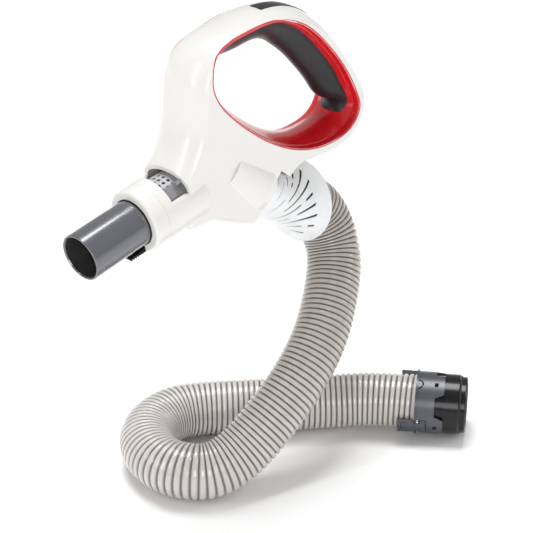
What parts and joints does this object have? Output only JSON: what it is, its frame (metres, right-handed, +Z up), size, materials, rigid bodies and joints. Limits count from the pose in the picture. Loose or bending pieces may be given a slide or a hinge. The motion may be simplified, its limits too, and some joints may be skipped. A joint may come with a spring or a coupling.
{
  "type": "vacuum dryer hose handpiece",
  "caption": "Loop-handled suction handpiece with round nozzle tube, bleed regulator, swivelling ribbed hose and a latching cuff for the machine end.",
  "frame": {"origin": "middle of the hand grip, in the plane of symmetry of the loop handle", "axes": "+Z up as the handpiece is held, -X toward the nozzle, Y across the handle with its left side at -Y; the hose comes down to a floor at Z = -0.316 m"},
  "size_m": [0.3176, 0.1928, 0.3591],
  "materials": {
    "shell_white": "glossy warm white moulded plastic",
    "trim_red": "glossy red moulded plastic",
    "grip_charcoal": "satin charcoal soft-touch overmould",
    "nozzle_grey": "glossy metallic grey plastic tube",
    "vent_grey": "satin grey plastic",
    "slider_grey": "satin dark grey plastic",
    "latch_black": "satin black ribbed plastic",
    "horn_white": "satin cool white plastic",
    "hose_clear_grey": "ribbed translucent warm grey hose",
    "cuff_black": "glossy black plastic",
    "collar_grey": "satin metallic grey plastic",
    "bearing_plastic": "matte white acetal",
    "seal_rubber": "matte black rubber",
    "steel": "zinc plated steel"
  },
  "bodies": {
    "handle": {"left_shell": "shell_white", "right_shell": "shell_white", "loop_trim_ring": "trim_red", "finger_grip": "grip_charcoal", "palm_strip": "grip_charcoal", "shell_screws": "steel", "nozzle_tube": "nozzle_grey", "nozzle_collar": "shell_white", "latch_pin": "steel", "latch_spring": "steel", "regulator_sleeve": "vent_grey", "air_duct": "vent_grey", "duct_seal": "seal_rubber", "swivel_bearing": "bearing_plastic", "swivel_seal": "seal_rubber"},
    "regulator": {"regulator_slider": "slider_grey"},
    "latch": {"nozzle_latch": "latch_black"},
    "swivel": {"swivel_horn": "horn_white", "swivel_snap_ring": "steel", "hose_cuff": "bearing_plastic", "hose": "hose_clear_grey", "hose_end_cuff": "bearing_plastic"},
    "cuff": {"machine_cuff": "cuff_black", "latch_collar": "collar_grey", "cuff_seal": "seal_rubber", "lever_pins": "steel", "lever_springs": "steel"},
    "front_lever": {"latch_lever_front": "collar_grey"},
    "back_lever": {"latch_lever_back": "collar_grey"}
  },
  "joints": [
    {"name": "regulator_turn", "type": "hinge", "parent": "handle", "child": "regulator", "pos_m": [-0.221, 0, -0.092], "axis": [0.9816, 0, 0.1908], "range_deg": [-62, 2]},
    {"name": "latch_press", "type": "hinge", "parent": "handle", "child": "latch", "pos_m": [-0.16361, 0, -0.10163], "axis": [0, 1, 0], "range_deg": [0, 6], "stiffness_Nm_per_rad": 0.06, "springref_deg": -5.73},
    {"name": "hose_swivel", "type": "hinge", "parent": "handle", "child": "swivel", "pos_m": [-0.0606, 0, -0.0915], "axis": [0.766, 0, -0.6428], "range_deg": [-30, 30]},
    {"name": "cuff_swivel", "type": "hinge", "parent": "swivel", "child": "cuff", "pos_m": [0.04648, -0.06287, -0.2915], "axis": [0.5815, -0.8135, 0], "continuous": true},
    {"name": "front_lever_press", "type": "hinge", "parent": "cuff", "child": "front_lever", "pos_m": [0.03796, -0.08617, -0.30105], "axis": [0.3438, 0.2458, -0.9063], "range_deg": [0, 5], "stiffness_Nm_per_rad": 0.06, "springref_deg": -5.73},
    {"name": "back_lever_press", "type": "hinge", "parent": "cuff", "child": "back_lever", "pos_m": [0.07129, -0.06234, -0.28195], "axis": [-0.3438, -0.2458, 0.9063], "range_deg": [0, 5], "stiffness_Nm_per_rad": 0.06, "springref_deg": -5.73}
  ]
}
